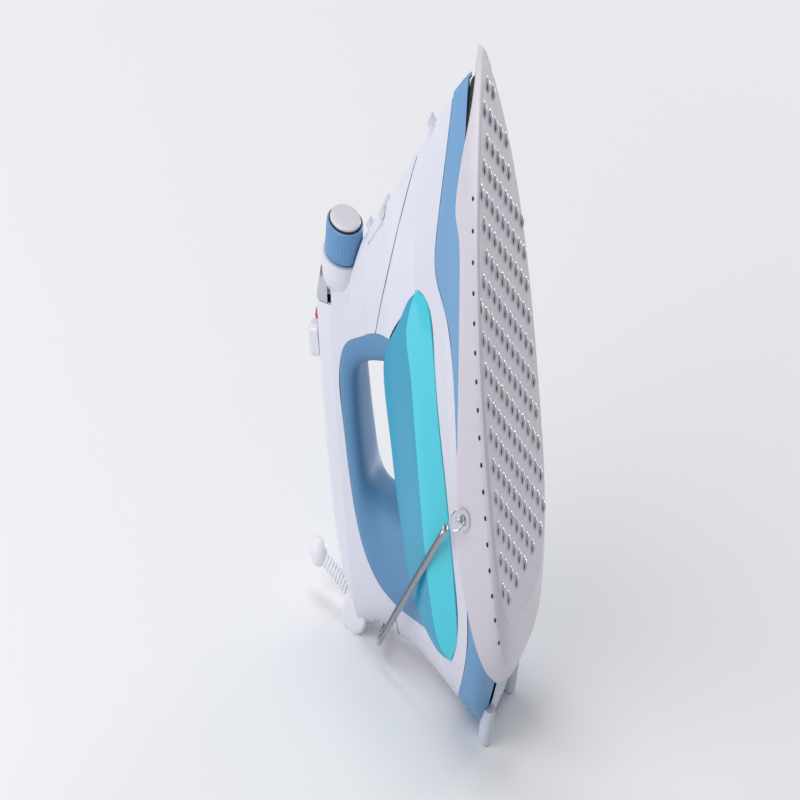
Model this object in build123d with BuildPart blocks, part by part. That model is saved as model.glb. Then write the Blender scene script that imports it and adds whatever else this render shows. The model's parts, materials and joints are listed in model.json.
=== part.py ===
"""Steam iron wearing a clip-on ironing shoe, piece by piece (mm).

Every piece is drawn in the sole frame: X runs forward along the sole with zero at the
nose, Y to the iron's left, Z up from the underside of the shoe. At the end the whole
iron is stood on its heel, as it is parked and stored: +Z up from the table, the sole
facing +X, and the origin on the table under the middle of the iron.
"""
import os
from math import atan2, cos, degrees, radians, sin

from build123d import *

# ---- overall sizes ----
shoe_width = 116            # widest part of the shoe
sole_length = 244           # flat of the shoe, nose to where the rear curves up
handle_top = 150            # top of the handle above the shoe's underside

# ---- the shoe ----
shoe_wall = 1.8
shoe_floor = 2.0
shoe_tail = -269            # rearmost point of the shoe
shoe_nose = 5               # its tip, ahead of the iron's own nose
rim_gap = 1.6               # air between the shoe's wall and the iron
hole_width = 2.0            # steam holes in the shoe
hole_length = 4.0
hole_pitch_x = 14.0
hole_pitch_y = 9.0
eyelet_x, eyelet_z = -177.5, 22.0
eyelet_bore = 5.6
eyelet_flange = 9.5
ring_radius = 6.0           # split ring, to the middle of its wire
ring_wire = 1.2
ring_turn = 25              # how far the ring is swung out from square to the wall
spring_diameter = 4.4
spring_bend = 12            # bend where the spring goes round the heel

# ---- hot plate and base ----
plate_gap = 0.5             # shoe to hot plate
plate_bottom = shoe_floor + 0.3
plate_top = 9.0
heater_diameter = 7.0
shield_step = 0.8           # the heat shield stands in from the skirt by this

# ---- body ----
skirt_half = shoe_width / 2 - shoe_wall - rim_gap
shell_wall = 2.5
grip_wall = 3.0
tank_wall = 2.2
tank_proud = 0.6            # the tank's sides stand out from the shell
body_nose = -5
nose_flat = 1.5             # half width of the blunt nose
moving_gap = 0.4            # round pieces that move

# ---- finger gap ----
gap_rear, gap_front = -192, -127
gap_floor_rear, gap_floor_front = 86, 91
gap_roof = 118

# ---- heel rest: the table plane goes through these two lines (x, z) ----
foot_tip = (-292.5, 30)
shoulder_tip = (-251, 134)
foot_diameter = 10.5
foot_spread = 56            # distance between the two feet

# ---- dial and controls ----
dial_centre = (-84, 126.5)  # x, z of the middle of the dial's base
dial_drop = 16              # degrees that the dial's axis points down
dial_radius = 14
dial_depth = 14.5
cap_radius = 13.2
cap_depth = 2.2
shaft_diameter = 6
control_radius = 4.6
control_depth = 6.5
shaft_length = 18
flute_count = 24
button_travel = 3
button_rear, button_front = -100.5, -86.5
button_inner, button_outer = 1.2, 16.5
button_bottom, button_top = 137, 145.5
stem_diameter = 4
pump_diameter = 7.4
pump_bottom, pump_top = 97, 121
pump_y = 7
pump_x = -98
slider_x = -121
slider_travel = 10          # rearward from where it stands
slider_length, slider_width, slider_height = 15, 12, 8
lens_x = -109
lens_length, lens_width = 4.5, 15

# ---- filler, nozzle, valve ----
door_foot = (-64.5, 89)     # x, z of the door's hinge
door_length = 17
door_width = 17
pin_diameter = 2.0
running_gap = 0.05
neck_bore = 7
nozzle_height = 46
nozzle_diameter = 6.5
valve_x = -118
valve_diameter = 4.4

# ---- cord outlet ----
swivel = (-239.5, 138)        # x, z of the swivel's centre
swivel_radius = 7.0
gland_radius = 10.5
guard_lean = 53             # degrees of the guard from the sole, pointing forward and up
guard_length = 44
guard_diameter = 8.6
bead_diameter = 14

heel_angle = degrees(atan2(shoulder_tip[1] - foot_tip[1], shoulder_tip[0] - foot_tip[0]))
reach = 100                 # half depth of a cutting prism, past either side

# Cross-sections of the body, bottom to top:
# height, tail x, nose x, half width, bluntness of the nose (1 is pointed).
body_levels = [
    (plate_top, -258, body_nose, skirt_half, 1.0),
    (16, -264, body_nose - 3, skirt_half, 1.0),
    (24, -274.7, body_nose - 8, skirt_half - 2.2, 1.05),
    (28, -282.5, body_nose - 10.5, skirt_half - 3.2, 1.05),
    (33, -288, body_nose - 13.5, skirt_half - 4.2, 1.1),
    (44, -281, body_nose - 22, skirt_half - 5.5, 1.2),
    (58, -270.5, body_nose - 33, skirt_half - 8, 1.4),
    (73, -263.5, body_nose - 45, skirt_half - 18, 1.8),
    (gap_floor_rear, -257.5, body_nose - 56, skirt_half - 27, 2.2),
    (gap_roof - 14, -251, body_nose - 69, skirt_half - 32, 2.6),
    (gap_roof, -246, body_nose - 78, skirt_half - 33, 3.0),
    (handle_top - 15, -246, body_nose - 78, skirt_half - 34, 3.0),
    (handle_top - 6, -228, body_nose - 83, skirt_half - 39, 3.0),
    (handle_top - 1.5, -208, body_nose - 92, skirt_half - 44, 3.0),
    (handle_top, -190, body_nose - 110, skirt_half - 48, 3.0),
]
# The same for the shoe, whose rear curves up.
shoe_levels = [
    (0, shoe_nose - 2 - sole_length, shoe_nose - 2, shoe_width / 2 - 3.5, 1.0),
    (1.2, shoe_nose - 8 - sole_length, shoe_nose - 1, shoe_width / 2 - 1.2, 1.0),
    (4, shoe_tail + 9, shoe_nose, shoe_width / 2, 1.0),
    (9, shoe_tail + 4, shoe_nose - 1, shoe_width / 2, 1.0),
    (18, shoe_tail, shoe_nose - 5, shoe_width / 2 - 0.5, 1.0),
    (34, shoe_tail + 1, shoe_nose - 14, shoe_width / 2 - 2.5, 1.0),
]
shoe_inner_levels = [(shoe_floor, shoe_tail + 25, shoe_nose - 1, shoe_width / 2 - 1.5, 1.0),
                     *shoe_levels[2:]]
tail_share = 0.32           # where along its length an outline is widest
tail_squareness = 3.2
flank_power = 2.35
tail_steps, flank_steps = 5, 8


def half_outline(tail, nose, half, blunt):
    """Points of one side, tail to nose: a rounded blunt tail, then a tapering flank."""
    length = nose - tail
    widest = tail_share * length
    points = []
    for step in range(tail_steps):
        turn = radians(90 * step / tail_steps)
        along = widest * (1 - cos(turn) ** (2 / tail_squareness))
        points.append((tail + along, half * sin(turn) ** (2 / tail_squareness)))
    last = (1 - (nose_flat / half) ** blunt) ** (1 / flank_power)
    for step in range(flank_steps + 1):
        share = last * sin(radians(90 * step / flank_steps))
        along = widest + share * (length - widest)
        points.append((tail + along, half * (1 - share**flank_power) ** (1 / blunt)))
    return points


def stacked(levels, inset, bottom_inset=0, top_inset=0):
    """Solid through a stack of outlines, drawn in by inset all round."""
    with BuildPart() as form:
        for row, (height, tail, nose, half, blunt) in enumerate(levels):
            lift = bottom_inset if row == 0 else 0
            lift -= top_inset if row == len(levels) - 1 else 0
            points = half_outline(tail + inset, nose - 1.4 * inset, half - inset, blunt)
            with BuildSketch(Plane.XY.offset(height + lift)):
                with BuildLine():
                    left = Spline(*points)
                    right = Spline(*[(x, -y) for x, y in points])
                    Line(left @ 1, right @ 1)
                make_face()
        loft(ruled=True)
    return form.part


def side_prism(points, *, smooth=()):
    """Prism right across the iron from a side outline of (x, z) points."""
    with BuildPart() as prism:
        with BuildSketch(Plane.XZ):
            with BuildLine():
                if smooth:
                    Spline(*smooth)
                    Polyline(smooth[-1], *points, smooth[0])
                else:
                    Polyline(*points, close=True)
            make_face()
        extrude(amount=reach, both=True)
    return prism.part


def gap_prism(margin):
    """The finger gap right across the iron, grown by margin on every side."""
    corners = [(gap_rear, gap_floor_rear), (gap_front, gap_floor_front),
               (gap_front, gap_roof + 1), (gap_rear + 10, gap_roof - 2)]
    with BuildPart() as prism:
        with BuildSketch(Plane.XZ):
            with BuildLine():
                Polyline(*corners, close=True)
            make_face()
            fillet(vertices().group_by(Axis.Y)[-2:][0] + vertices().group_by(Axis.Y)[-1], radius=9)
            if margin:
                offset(amount=margin)
        extrude(amount=reach, both=True)
    return prism.part


# ---- shared forms ----
dial_plane = Plane(origin=(dial_centre[0], 0, dial_centre[1]), x_dir=(0, 1, 0),
                   z_dir=(cos(radians(dial_drop)), 0, -sin(radians(dial_drop))))
collar_radius = dial_radius + 1.5
collar_depth = 7
with BuildPart() as dial_room:
    with BuildSketch(dial_plane):
        Circle(collar_radius)
    extrude(amount=40)
gap = gap_prism(0)
outer = stacked(body_levels, 0) - gap - dial_room.part
cavity = stacked(body_levels, shell_wall, top_inset=shell_wall) - gap_prism(shell_wall)
body_wall = outer - cavity

skirt_edge = [(-292, 62), (-273, 52), (-259, 42), (-244, 33.5), (-222, 28.5), (-154, 27),
              (-110, 28), (-94, 33), (-79, 40.5), (-66, 39.5), (-40, 33), (-14, 27.5), (12, 23)]
below_skirt_edge = side_prism([(12, -20), (-320, -20), (-320, 62)], smooth=skirt_edge)
skirt_foot = [(12, 9), (-8, 12), (-30, 15), (-230, 15), (-262, 17), (-284, 31.5), (-320, 31.5)]
below_skirt = side_prism([(-320, -20), (12, -20), *skirt_foot])

tank_rear, tank_front = (-247, 47), (-87, 55)
tank_top = [(-243, 60), (-232, 74), (-215, 83.5), (-189, 87.5), (-160, 90), (-129, 92.5),
            (-116, 88), (-101, 73)]
tank_bottom = [(-93, 46), (-112, 42.5), (-137, 41), (-170, 38), (-201, 37), (-233, 38.5)]


def drawn_in(points, margin):
    """A clockwise closed outline with every point moved in along its own normal."""
    moved = []
    for place, (x, z) in enumerate(points):
        before, after = points[place - 1], points[(place + 1) % len(points)]
        way = Vector(after[0] - before[0], after[1] - before[1]).normalized()
        moved.append((x + margin * way.Y, z - margin * way.X))
    return moved


def tank_prism(margin):
    """The tank's lens-shaped side outline right across the iron, drawn in by margin."""
    around = drawn_in([tank_rear, *tank_top, tank_front, *tank_bottom], margin)
    turn = len(tank_top) + 1
    with BuildPart() as prism:
        with BuildSketch(Plane.XZ):
            with BuildLine():
                Spline(*around[: turn + 1])
                Spline(*around[turn:], around[0])
            make_face()
        extrude(amount=reach, both=True)
    return prism.part


tank_zone = tank_prism(0)
grip_edge = [(-236, 84), (-233, 96), (-226, 108), (-213, 118.5), (-193, 125.5), (-170, 128.5),
             (-148, 130), (-126, 129.5), (-117, 124), (-113.5, 112), (-111, 98), (-113, 84)]
grip_zone = side_prism([(-113, 60), (-236, 60)], smooth=grip_edge) - tank_zone
above_parting = side_prism([(0, 62), (0, 220), (-330, 220), (-330, 112), (-262, 104),
                            (-228, 99), (-200, 96), (-111, 96.5), (-77, 78)])

# ---- table plane under the heel ----
heel = Plane(origin=(foot_tip[0], 0, foot_tip[1]),
             x_dir=(cos(radians(heel_angle)), 0, sin(radians(heel_angle))),
             z_dir=(sin(radians(heel_angle)), 0, -cos(radians(heel_angle))))

# ---- shoe ----
rim_edge = [(-290, 14), (-262, 15.5), (-250, 20), (-236, 24), (-222, 26.5), (-198, 30),
            (-176, 28.5), (-153, 25), (-118, 20), (-86, 17), (-65, 16.5), (-52, 20), (-36, 16),
            (-14, 8), (12, 4)]
above_rim = side_prism([(12, 60), (-290, 60)], smooth=rim_edge)
rows = 5
rim_hole_z = 5.5
rim_holes = 17
rim_hole_rear = -236
shoe_form = stacked(shoe_levels, 0)
shoe_hollow = stacked(shoe_inner_levels, shoe_wall)
with BuildPart() as shoe_shell:
    add(shoe_form)
    add(shoe_hollow, mode=Mode.SUBTRACT)
    add(above_rim, mode=Mode.SUBTRACT)
    with BuildSketch() as steam_holes:
        for row in range(-rows, rows + 1):
            across = row * hole_pitch_y
            share = abs(across) / (shoe_width / 2 - 5)
            front = shoe_nose - 14 - (sole_length - 14) * (0.68 * (1 - (1 - share) ** 0.426))
            rear = shoe_nose - sole_length + 16
            count = int((front - rear) / hole_pitch_x)
            for place in range(count + 1):
                shift = hole_pitch_x / 2 * (row % 2)
                with Locations((rear + shift + place * hole_pitch_x, across)):
                    SlotOverall(hole_length, hole_width)
    extrude(amount=shoe_floor * 3, both=True, mode=Mode.SUBTRACT)
    with BuildSketch(Plane.XZ):
        with Locations((eyelet_x, eyelet_z)):
            Circle(eyelet_bore / 2 + 0.5)
        for place in range(rim_holes):
            with Locations((rim_hole_rear + place * 11.8, rim_hole_z)):
                Circle(1)
    extrude(amount=reach, both=True, mode=Mode.SUBTRACT)
shoe_shell.part.label = "shoe_shell"

eyelet_y = shoe_width / 2 - 1.0
with BuildPart() as shoe_eyelets:
    for side in (-1, 1):
        with BuildSketch(Plane((eyelet_x, side * (eyelet_y + 1.4), eyelet_z), z_dir=(0, -side, 0))):
            Circle(eyelet_bore / 2 + 0.5)
            Circle(eyelet_bore / 2, mode=Mode.SUBTRACT)
        extrude(amount=3.0)
        with BuildSketch(Plane((eyelet_x, side * (eyelet_y + 0.9), eyelet_z), z_dir=(0, side, 0))):
            Circle(eyelet_flange / 2)
            Circle(eyelet_bore / 2, mode=Mode.SUBTRACT)
        extrude(amount=0.8)
shoe_eyelets.part.label = "shoe_eyelets"

ring_z = eyelet_z + ring_radius - 0.6
with BuildPart() as split_rings:
    for side in (-1, 1):
        turn = radians(ring_turn)
        ring_plane = Plane((eyelet_x, side * (eyelet_y + 1.4), ring_z), z_dir=(cos(turn), side * sin(turn), 0))
        with Locations(ring_plane):
            Torus(ring_radius, ring_wire / 2)
split_rings.part.label = "split_rings"

spring_start = (eyelet_x - 3, eyelet_y + 2.5, ring_z + ring_radius + 3)
spring_corner = (-250, 25, 117)
with BuildPart() as shoe_spring:
    with BuildLine() as spring_path:
        FilletPolyline(
            (spring_start[0], -spring_start[1], spring_start[2]),
            (spring_corner[0], -spring_corner[1], spring_corner[2]),
            spring_corner, spring_start, radius=spring_bend)
    with BuildSketch(Plane(spring_path.line @ 0, z_dir=spring_path.line % 0)):
        Circle(spring_diameter / 2)
    sweep()
shoe_spring.part.label = "shoe_spring"

# ---- hot plate, heater, steam chamber ----
plate_half = shoe_width / 2 - shoe_wall - plate_gap
plate_levels = [
    (plate_bottom, shoe_tail + 28, body_nose - 3, plate_half - 3, 1.0),
    (plate_top - 3, shoe_tail + 13, body_nose - 2, plate_half - 0.5, 1.0),
    (plate_top, shoe_tail + 13, body_nose - 2, plate_half - 1, 1.0),
]
heater_z = plate_top + 1.0
with BuildPart() as heating_element:
    with BuildLine() as heater_path:
        FilletPolyline((-222, -30, heater_z), (-130, -34, heater_z), (-62, -14, heater_z),
                       (-44, 0, heater_z), (-62, 14, heater_z), (-130, 34, heater_z),
                       (-222, 30, heater_z), radius=14)
    with BuildSketch(Plane(heater_path.line @ 0, z_dir=heater_path.line % 0)):
        Circle(heater_diameter / 2)
    sweep()
heating_element.part.label = "heating_element"

plate_form = stacked(plate_levels, 0)
with BuildPart() as soleplate:
    add(plate_form)
    add(heating_element.part, mode=Mode.SUBTRACT)
    with BuildSketch(Plane.XY.offset(plate_top)):
        with Locations((-150, 0)):
            SlotOverall(90, 30)
    extrude(amount=-3, mode=Mode.SUBTRACT)
    with BuildSketch():
        with Locations((-150, 0)):
            with GridLocations(18, 10, 5, 3):
                Circle(1.5)
    extrude(amount=plate_top, mode=Mode.SUBTRACT)
soleplate.part.label = "soleplate"

with BuildPart() as steam_cover:
    with BuildSketch(Plane.XY.offset(plate_top)):
        with Locations((-150, 0)):
            SlotOverall(104, 44)
        with Locations((valve_x, 0)):
            Circle(valve_diameter / 2, mode=Mode.SUBTRACT)
    extrude(amount=2)
steam_cover.part.label = "steam_cover"

thermostat_x = -212
with BuildPart() as thermostat:
    with BuildSketch(Plane.XY.offset(plate_top)):
        with Locations((thermostat_x, 0)):
            Circle(8.5)
    extrude(amount=6)
    with BuildSketch(Plane.XY.offset(plate_top + 6)):
        with Locations((thermostat_x, 0)):
            RectangleRounded(24, 9, 2)
    extrude(amount=4)
thermostat.part.label = "thermostat"

with BuildPart() as thermal_fuse:
    with BuildSketch(Plane.YZ.offset(-80)):
        with Locations((0, plate_top + 2.5)):
            Circle(2.5)
    extrude(amount=12)
thermal_fuse.part.label = "thermal_fuse"

shield_form = stacked(body_levels, shield_step)
with BuildPart() as heat_shield:
    add(shield_form)
    add(cavity, mode=Mode.SUBTRACT)
    add(below_skirt, mode=Mode.INTERSECT)
    with BuildSketch(Plane.XY):
        with Locations((-100, 0)):
            Rectangle(2 * 148, 2 * reach)
    extrude(amount=60, mode=Mode.INTERSECT)
heat_shield.part.label = "heat_shield"

foot_along = 3                          # middle of a foot, up the heel from its lower edge
foot_depth = 17
with BuildPart() as heel_base:
    add(outer)
    add(cavity, mode=Mode.SUBTRACT)
    add(below_skirt, mode=Mode.INTERSECT)
    with BuildSketch(Plane.XY):
        with Locations((-324, 0)):
            Rectangle(2 * 76, 2 * reach)
    extrude(amount=60, mode=Mode.INTERSECT)
    with BuildSketch(heel):
        with Locations((foot_along, -foot_spread / 2), (foot_along, foot_spread / 2)):
            Circle(foot_diameter / 2)
    extrude(amount=foot_depth)
    add(cavity, mode=Mode.SUBTRACT)
    chamfer(edges().filter_by(GeomType.CIRCLE).group_by(Axis.X)[0], length=1.2)
heel_base.part.label = "heel_base"

with BuildPart() as skirt:
    add(body_wall)
    add(below_skirt_edge, mode=Mode.INTERSECT)
    add(below_skirt, mode=Mode.SUBTRACT)
    add(tank_zone, mode=Mode.SUBTRACT)
    add(heel_base.part, mode=Mode.SUBTRACT)
skirt.part.label = "skirt"

with BuildPart() as base_screws:
    for x, y in ((-236, -22), (-236, 22), (-56, 0)):
        with BuildSketch(Plane.XY.offset(plate_top)):
            with Locations((x, y)):
                Circle(2)
        extrude(amount=5)
        with BuildSketch(Plane.XY.offset(plate_top + 5)):
            with Locations((x, y)):
                Circle(4)
                RegularPolygon(1.7, 6, mode=Mode.SUBTRACT)
        extrude(amount=3)
base_screws.part.label = "base_screws"

# ---- rear cover ----
cover_low, cover_high = 34, 84          # along the heel, from the feet
with BuildPart() as cover_zone:
    with BuildSketch(heel.offset(2)):
        with BuildLine():
            Polyline((cover_low, -26), (cover_high, -13), (cover_high, 13), (cover_low, 26), close=True)
        make_face()
        fillet(vertices(), radius=5)
    extrude(amount=26)

heel_depth = 11                         # from the table plane to the cover's face
rear_screw_places = ((cover_low + 9, heel_depth + 0.2), (cover_high - 9, heel_depth + 0.9))
with BuildPart() as rear_screws:
    for along, depth in rear_screw_places:
        with BuildSketch(heel.offset(depth)):
            with Locations((along, 0)):
                Circle(3.2)
        extrude(amount=-1.8)
        with BuildSketch(heel.offset(depth - 1.8)):
            with Locations((along, 0)):
                RegularPolygon(1.4, 6)
        extrude(amount=1.2, mode=Mode.SUBTRACT)
        with BuildSketch(heel.offset(depth)):
            with Locations((along, 0)):
                Circle(1.6)
        extrude(amount=12)
rear_screws.part.label = "rear_screws"

with BuildPart() as rear_cover:
    add(body_wall)
    add(cover_zone.part, mode=Mode.INTERSECT)
    for along, depth in rear_screw_places:
        with BuildSketch(heel.offset(depth)):
            with Locations((along, 0)):
                Circle(3.2)
        extrude(amount=-6, mode=Mode.SUBTRACT)
        with BuildSketch(heel.offset(depth)):
            with Locations((along, 0)):
                Circle(1.6)
        extrude(amount=12, mode=Mode.SUBTRACT)
rear_cover.part.label = "rear_cover"

# ---- white body ----
with BuildPart() as body_shell:
    add(body_wall)
    for zone in (below_skirt_edge, tank_zone, grip_zone, above_parting, cover_zone.part):
        add(zone, mode=Mode.SUBTRACT)
body_shell.part.label = "body_shell"

grip_core = stacked(body_levels, grip_wall) - gap_prism(grip_wall)
with BuildPart() as grip:
    add(outer)
    add(grip_zone, mode=Mode.INTERSECT)
    add(grip_core, mode=Mode.SUBTRACT)
grip.part.label = "grip"

# ---- dial ----
with BuildPart() as dial_control:
    with BuildSketch(dial_plane.offset(-shell_wall)):
        Circle(control_radius)
        Circle(shaft_diameter / 2 + running_gap, mode=Mode.SUBTRACT)
    extrude(amount=-control_depth)
dial_control.part.label = "dial_control"

with BuildPart() as dial_shaft:
    with BuildSketch(dial_plane.offset(dial_depth - 3)):
        Circle(shaft_diameter / 2)
    extrude(amount=-shaft_length)
dial_shaft.part.label = "dial_shaft"

with BuildPart() as dial:
    with BuildSketch(dial_plane.offset(moving_gap)):
        Circle(dial_radius)
        with PolarLocations(dial_radius + 0.6, flute_count):
            Circle(1.1, mode=Mode.SUBTRACT)
    extrude(amount=dial_depth)
    with BuildSketch(dial_plane.offset(moving_gap)):
        Circle(dial_radius - 2)
        Circle(shaft_diameter / 2 + 2, mode=Mode.SUBTRACT)
    extrude(amount=dial_depth - 3, mode=Mode.SUBTRACT)
    with BuildSketch(dial_plane.offset(moving_gap)):
        Circle(shaft_diameter / 2)
    extrude(amount=dial_depth - 3 - moving_gap, mode=Mode.SUBTRACT)
dial.part.label = "dial"

with BuildPart() as dial_cap:
    with BuildSketch(dial_plane.offset(moving_gap + dial_depth)):
        Circle(cap_radius)
    extrude(amount=cap_depth, taper=12)
dial_cap.part.label = "dial_cap"

# ---- push buttons, pumps ----
def button_body(sign, clearance, depth_below):
    """Block of one push button, its outer edge falling with the handle's side."""
    inner, over = sign * (button_inner - clearance), sign * (button_outer + clearance + 6)
    with BuildPart() as block:
        with BuildSketch(Plane.XY.offset(button_bottom - depth_below)):
            with BuildLine():
                Polyline((button_rear - clearance, inner), (button_front + clearance, inner),
                         (button_front + clearance, over), (button_rear - clearance, over), close=True)
            make_face()
        extrude(amount=button_top - button_bottom + depth_below + 10)
    return block.part


handle_form = stacked(body_levels, 0)


def push_button(label, sign):
    """One push button: a block shaped to the handle's skin, on a stem."""
    block = button_body(sign, 0, 0) & handle_form
    with BuildPart() as button:
        add(block)
        with BuildSketch(Plane.XY.offset(button_bottom)):
            with Locations((pump_x, sign * pump_y)):
                Circle(stem_diameter / 2)
        extrude(amount=-(button_bottom - pump_top + 8))
    button.part.label = label
    return button.part


def pump(label, sign):
    """Piston pump under one push button, with a bore for the button's stem."""
    with BuildPart() as body:
        with BuildSketch(Plane.XY.offset(pump_bottom)):
            with Locations((pump_x, sign * pump_y)):
                Circle(pump_diameter / 2)
        extrude(amount=pump_top - pump_bottom)
        with BuildSketch(Plane.XY.offset(pump_top)):
            with Locations((pump_x, sign * pump_y)):
                Circle(stem_diameter / 2 + running_gap)
        extrude(amount=-(8 + button_travel + 2), mode=Mode.SUBTRACT)
    body.part.label = label
    return body.part


steam_button = push_button("steam_button", -1)
spray_button = push_button("spray_button", 1)
steam_pump = pump("steam_pump", -1)
spray_pump = pump("spray_pump", 1)

coil_radius = stem_diameter / 2 + 1.6
with BuildPart() as button_springs:
    for sign in (-1, 1):
        with BuildSketch(Plane.XY.offset(pump_top)):
            with Locations((pump_x, sign * pump_y)):
                Circle(coil_radius)
                Circle(coil_radius - 0.8, mode=Mode.SUBTRACT)
        extrude(amount=button_bottom - button_travel - pump_top - 0.6)
button_springs.part.label = "button_springs"

# ---- slider, lens, board ----
with BuildPart() as slider_knob:
    with BuildSketch(Plane.XY.offset(handle_top + moving_gap)):
        with Locations((slider_x, 0)):
            RectangleRounded(slider_length, slider_width, 4)
    extrude(amount=slider_height, taper=3)
    fillet(edges().group_by(Axis.Z)[-1], radius=2)
    with BuildSketch(Plane.XY.offset(handle_top + moving_gap)):
        with Locations((slider_x, 0)):
            SlotOverall(7, 3.2)
    extrude(amount=-(shell_wall + 4))
slider_knob.part.label = "slider_knob"

slot_length = 7 + slider_travel + 2 * moving_gap
slot_x = slider_x - slider_travel / 2
with BuildPart() as slide_switch:
    with BuildSketch(Plane.XY.offset(handle_top - shell_wall - 3.2)):
        with Locations((slot_x, 0)):
            RectangleRounded(24, 10, 1)
    extrude(amount=-5)
    with BuildSketch(Plane.XY.offset(handle_top - shell_wall - 3.2)):
        with Locations((slot_x, 0)):
            SlotOverall(slot_length, 3.2 + 2 * moving_gap)
    extrude(amount=-3, mode=Mode.SUBTRACT)
slide_switch.part.label = "slide_switch"

lens_form = stacked(body_levels, -0.5) - stacked(body_levels, shell_wall)
with BuildPart() as indicator_lens:
    add(lens_form)
    with BuildSketch(Plane.XY.offset(handle_top - 12)):
        with Locations((lens_x, 0)):
            SlotOverall(lens_width, lens_length, rotation=90)
    extrude(amount=20, mode=Mode.INTERSECT)
indicator_lens.part.label = "indicator_lens"

with BuildPart() as control_board:
    with BuildSketch(Plane.XY.offset(gap_roof + 15)):
        with Locations((-163, 0)):
            RectangleRounded(52, 24, 2)
            with GridLocations(44, 16, 2, 2):
                Circle(1.4, mode=Mode.SUBTRACT)
    extrude(amount=1.6)
    with BuildSketch(Plane.XY.offset(gap_roof + 16.6)):
        with Locations((-172, 0)):
            RectangleRounded(16, 12, 1)
        with Locations((-152, 0)):
            RectangleRounded(9, 9, 1)
    extrude(amount=5)
control_board.part.label = "control_board"

with BuildPart() as board_screws:
    for x in (-22, 22):
        for y in (-8, 8):
            with BuildSketch(Plane.XY.offset(gap_roof + 16.6)):
                with Locations((-163 + x, y)):
                    Circle(2.4)
            extrude(amount=1.6)
            with BuildSketch(Plane.XY.offset(gap_roof + 16.6)):
                with Locations((-163 + x, y)):
                    Circle(1.3)
            extrude(amount=-6)
board_screws.part.label = "board_screws"

# ---- filler: neck, door, gasket ----
door_rise = 54                          # degrees of the door from the sole
door_plane = Plane(origin=(door_foot[0], 0, door_foot[1]),
                   x_dir=(-cos(radians(door_rise)), 0, sin(radians(door_rise))),
                   z_dir=(sin(radians(door_rise)), 0, cos(radians(door_rise))))
door_slot = 0.5


def door_zone(margin):
    """Space of the filler door, grown by margin along its free edges."""
    with BuildPart() as zone:
        with BuildSketch(door_plane.offset(-6)):
            with Locations((door_length / 2 + margin / 2, 0)):
                Rectangle(door_length + margin, door_width + 2 * margin)
        extrude(amount=14)
    return zone.part


knuckle_radius = 2.1
hinge_plane = Plane(origin=(door_foot[0] + 0.6, 0, door_foot[1] + 0.4), z_dir=(0, 1, 0))
door_form = (stacked(body_levels, -0.5) - stacked(body_levels, shell_wall - 0.7)) & door_zone(0)
with BuildPart() as filler_door:
    add(door_form)
    with BuildSketch(door_plane):
        with Locations((door_length - 2, 0)):
            RectangleRounded(3.6, 7, 1.5)
    extrude(amount=4.5)
    with BuildSketch(hinge_plane.offset(-4.5)):
        Circle(knuckle_radius)
    extrude(amount=9)
    with BuildSketch(hinge_plane.offset(-30)):
        Circle(pin_diameter / 2 + running_gap)
    extrude(amount=60, mode=Mode.SUBTRACT)
    with BuildSketch(hinge_plane.offset(4.5)):
        Circle(knuckle_radius + moving_gap)
    extrude(amount=20, mode=Mode.SUBTRACT)
    with BuildSketch(hinge_plane.offset(-4.5)):
        Circle(knuckle_radius + moving_gap)
    extrude(amount=-20, mode=Mode.SUBTRACT)
filler_door.part.label = "filler_door"

with BuildPart() as door_pin:
    with BuildSketch(hinge_plane.offset(-8.2)):
        Circle(pin_diameter / 2)
    extrude(amount=16.4)
door_pin.part.label = "door_pin"

neck_top = (-77, 91.5)
neck_foot = (-103, 70)
neck_plane = Plane(origin=(neck_top[0], 0, neck_top[1]),
                   z_dir=(neck_foot[0] - neck_top[0], 0, neck_foot[1] - neck_top[1]))
neck_length = ((neck_foot[0] - neck_top[0]) ** 2 + (neck_foot[1] - neck_top[1]) ** 2) ** 0.5
with BuildPart() as filler_neck:
    with BuildSketch(neck_plane):
        Circle(neck_bore / 2 + 1.4)
        Circle(neck_bore / 2, mode=Mode.SUBTRACT)
    extrude(amount=neck_length)
filler_neck.part.label = "filler_neck"

with BuildPart() as neck_room:
    with BuildSketch(neck_plane):
        Circle(neck_bore / 2 + 1.4)
    extrude(amount=neck_length)

with BuildPart() as filler_gasket:
    with BuildSketch(neck_plane):
        Circle(neck_bore / 2 + 2.6)
        Circle(neck_bore / 2 + 1.4, mode=Mode.SUBTRACT)
    extrude(amount=2.4)
filler_gasket.part.label = "filler_gasket"

with BuildPart() as drip_valve:
    with BuildSketch(Plane.XY.offset(plate_top)):
        with Locations((valve_x, 0)):
            Circle(valve_diameter / 2)
    extrude(amount=72)
drip_valve.part.label = "drip_valve"

tank_form = stacked(body_levels, -tank_proud)
tank_hollow = (stacked(body_levels, tank_wall) & tank_prism(tank_wall)) - gap_prism(tank_wall)
with BuildPart() as water_tank:
    add(tank_form)
    add(gap, mode=Mode.SUBTRACT)
    add(tank_zone, mode=Mode.INTERSECT)
    add(tank_hollow, mode=Mode.SUBTRACT)
    add(neck_room.part, mode=Mode.SUBTRACT)
    add(drip_valve.part, mode=Mode.SUBTRACT)
water_tank.part.label = "water_tank"

slope_plane = Plane(origin=(body_nose - 23.5, 0, nozzle_height), z_dir=(0.79, 0, 0.613))
with BuildPart() as spray_nozzle:
    with BuildSketch(slope_plane.offset(-6)):
        Circle(nozzle_diameter / 2)
    extrude(amount=10.5)
    chamfer(edges().filter_by(GeomType.CIRCLE).sort_by(Axis.X)[-1], length=1)
    with BuildSketch(slope_plane.offset(4.5)):
        Circle(0.8)
    extrude(amount=-12, mode=Mode.SUBTRACT)
    with BuildSketch(slope_plane.offset(-6)):
        Circle(1.5)
    extrude(amount=-1)
spray_nozzle.part.label = "spray_nozzle"
with BuildPart() as nozzle_hole:
    with BuildSketch(slope_plane.offset(-10)):
        Circle(nozzle_diameter / 2)
    extrude(amount=16)

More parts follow.
